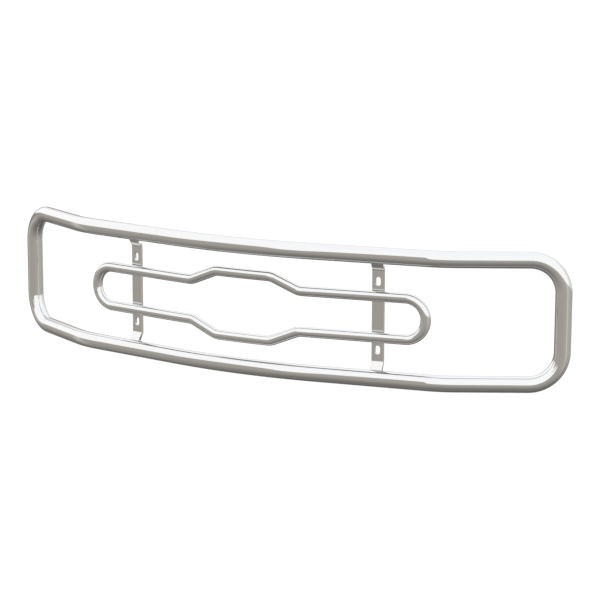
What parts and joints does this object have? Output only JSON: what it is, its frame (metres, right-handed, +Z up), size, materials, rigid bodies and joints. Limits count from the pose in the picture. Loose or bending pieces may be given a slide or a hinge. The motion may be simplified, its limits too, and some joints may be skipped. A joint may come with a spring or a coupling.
{
  "type": "front grille guard",
  "caption": "Bowed welded guard of bright tube for a truck's front, with an inner loop and slotted straps that bolt to brackets.",
  "frame": {"origin": "mid-plane, half way through the guard's depth, level with the lowest point of the ring", "axes": "+X to the right along the guard as seen from the front, +Y rearward towards the vehicle, +Z up"},
  "size_m": [1.9648, 0.3039, 0.4282],
  "materials": {
    "polished_tube": "mirror polished",
    "polished_strap": "polished, slightly soft",
    "ground_weld": "ground flush and polished",
    "weld_bead": "as welded, polished over",
    "sleeve_steel": "plain drawn"
  },
  "bodies": {
    "root": {"ring_upper_tube": "polished_tube", "ring_lower_tube": "polished_tube", "loop_left_tube": "polished_tube", "loop_right_tube": "polished_tube", "left_strap": "polished_strap", "right_strap": "polished_strap", "ring_left_sleeve": "sleeve_steel", "ring_right_sleeve": "sleeve_steel", "loop_upper_sleeve": "sleeve_steel", "loop_lower_sleeve": "sleeve_steel", "ring_left_seam_weld": "ground_weld", "ring_right_seam_weld": "ground_weld", "loop_upper_seam_weld": "ground_weld", "loop_lower_seam_weld": "ground_weld", "upper_left_ring_weld": "weld_bead", "upper_right_ring_weld": "weld_bead", "lower_left_ring_weld": "weld_bead", "lower_right_ring_weld": "weld_bead", "upper_left_loop_weld": "weld_bead", "upper_right_loop_weld": "weld_bead", "lower_left_loop_weld": "weld_bead", "lower_right_loop_weld": "weld_bead"}
  },
  "joints": []
}
